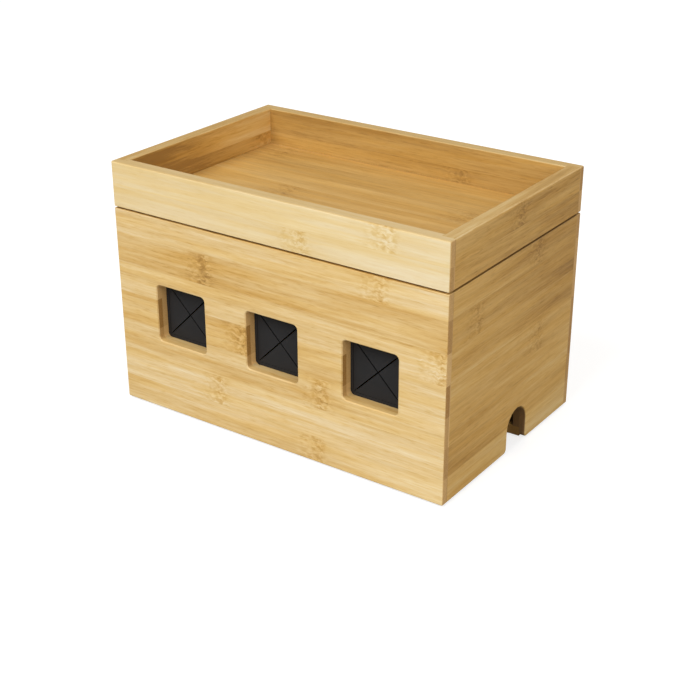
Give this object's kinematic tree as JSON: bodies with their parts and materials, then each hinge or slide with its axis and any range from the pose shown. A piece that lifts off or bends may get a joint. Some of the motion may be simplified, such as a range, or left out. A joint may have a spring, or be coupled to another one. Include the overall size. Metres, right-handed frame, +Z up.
{
  "type": "cable management box",
  "caption": "Bamboo box that hides a power strip, with square rubber-sealed cable outlets in front, side cable notches and a lift-off tray for its lid.",
  "frame": {"origin": "on the surface that the box stands on, under the middle of its length and depth", "axes": "+X to the right seen from the front, -Y out of the front with the outlets, +Z up"},
  "size_m": [0.24, 0.155, 0.1615],
  "materials": {
    "bamboo": "satin lacquered bamboo",
    "seal_rubber": "matt black rubber sheet",
    "foot_rubber": "matt",
    "screw_steel": "zinc plated"
  },
  "bodies": {
    "box": {"front_panel": "bamboo", "back_panel": "bamboo", "left_panel": "bamboo", "right_panel": "bamboo", "bottom_panel": "bamboo", "foot_front_left": "foot_rubber", "foot_front_right": "foot_rubber", "foot_back_left": "foot_rubber", "foot_back_right": "foot_rubber", "outlet_seal_left": "seal_rubber", "outlet_seal_middle": "seal_rubber", "outlet_seal_right": "seal_rubber", "seal_screws": "screw_steel"},
    "tray": {"tray_front": "bamboo", "tray_back": "bamboo", "tray_left": "bamboo", "tray_right": "bamboo", "tray_floor": "bamboo", "tray_batten_front": "bamboo", "tray_batten_back": "bamboo", "tray_batten_left": "bamboo", "tray_batten_right": "bamboo"},
    "left_flap_top": {"left_flap_top": "seal_rubber"},
    "left_flap_left": {"left_flap_left": "seal_rubber"},
    "left_flap_bottom": {"left_flap_bottom": "seal_rubber"},
    "left_flap_right": {"left_flap_right": "seal_rubber"},
    "middle_flap_top": {"middle_flap_top": "seal_rubber"},
    "middle_flap_left": {"middle_flap_left": "seal_rubber"},
    "middle_flap_bottom": {"middle_flap_bottom": "seal_rubber"},
    "middle_flap_right": {"middle_flap_right": "seal_rubber"},
    "right_flap_top": {"right_flap_top": "seal_rubber"},
    "right_flap_left": {"right_flap_left": "seal_rubber"},
    "right_flap_bottom": {"right_flap_bottom": "seal_rubber"},
    "right_flap_right": {"right_flap_right": "seal_rubber"}
  },
  "joints": [
    {"name": "tray_lift", "type": "slide", "parent": "box", "child": "tray", "axis": [0, 0, 1], "range_m": [0, 0.15]},
    {"name": "left_flap_top_bend", "type": "hinge", "parent": "box", "child": "left_flap_top", "pos_m": [-0.07, -0.06825, 0.0845], "axis": [1, 0, 0], "range_deg": [-75, 75], "stiffness_Nm_per_rad": 0.003},
    {"name": "left_flap_left_bend", "type": "hinge", "parent": "box", "child": "left_flap_left", "pos_m": [-0.086, -0.06825, 0.0685], "axis": [0, 0, 1], "range_deg": [-75, 75], "stiffness_Nm_per_rad": 0.003},
    {"name": "left_flap_bottom_bend", "type": "hinge", "parent": "box", "child": "left_flap_bottom", "pos_m": [-0.07, -0.06825, 0.0525], "axis": [-1, 0, 0], "range_deg": [-75, 75], "stiffness_Nm_per_rad": 0.003},
    {"name": "left_flap_right_bend", "type": "hinge", "parent": "box", "child": "left_flap_right", "pos_m": [-0.054, -0.06825, 0.0685], "axis": [0, 0, -1], "range_deg": [-75, 75], "stiffness_Nm_per_rad": 0.003},
    {"name": "middle_flap_top_bend", "type": "hinge", "parent": "box", "child": "middle_flap_top", "pos_m": [0, -0.06825, 0.0845], "axis": [1, 0, 0], "range_deg": [-75, 75], "stiffness_Nm_per_rad": 0.003},
    {"name": "middle_flap_left_bend", "type": "hinge", "parent": "box", "child": "middle_flap_left", "pos_m": [-0.016, -0.06825, 0.0685], "axis": [0, 0, 1], "range_deg": [-75, 75], "stiffness_Nm_per_rad": 0.003},
    {"name": "middle_flap_bottom_bend", "type": "hinge", "parent": "box", "child": "middle_flap_bottom", "pos_m": [0, -0.06825, 0.0525], "axis": [-1, 0, 0], "range_deg": [-75, 75], "stiffness_Nm_per_rad": 0.003},
    {"name": "middle_flap_right_bend", "type": "hinge", "parent": "box", "child": "middle_flap_right", "pos_m": [0.016, -0.06825, 0.0685], "axis": [0, 0, -1], "range_deg": [-75, 75], "stiffness_Nm_per_rad": 0.003},
    {"name": "right_flap_top_bend", "type": "hinge", "parent": "box", "child": "right_flap_top", "pos_m": [0.07, -0.06825, 0.0845], "axis": [1, 0, 0], "range_deg": [-75, 75], "stiffness_Nm_per_rad": 0.003},
    {"name": "right_flap_left_bend", "type": "hinge", "parent": "box", "child": "right_flap_left", "pos_m": [0.054, -0.06825, 0.0685], "axis": [0, 0, 1], "range_deg": [-75, 75], "stiffness_Nm_per_rad": 0.003},
    {"name": "right_flap_bottom_bend", "type": "hinge", "parent": "box", "child": "right_flap_bottom", "pos_m": [0.07, -0.06825, 0.0525], "axis": [-1, 0, 0], "range_deg": [-75, 75], "stiffness_Nm_per_rad": 0.003},
    {"name": "right_flap_right_bend", "type": "hinge", "parent": "box", "child": "right_flap_right", "pos_m": [0.086, -0.06825, 0.0685], "axis": [0, 0, -1], "range_deg": [-75, 75], "stiffness_Nm_per_rad": 0.003}
  ]
}
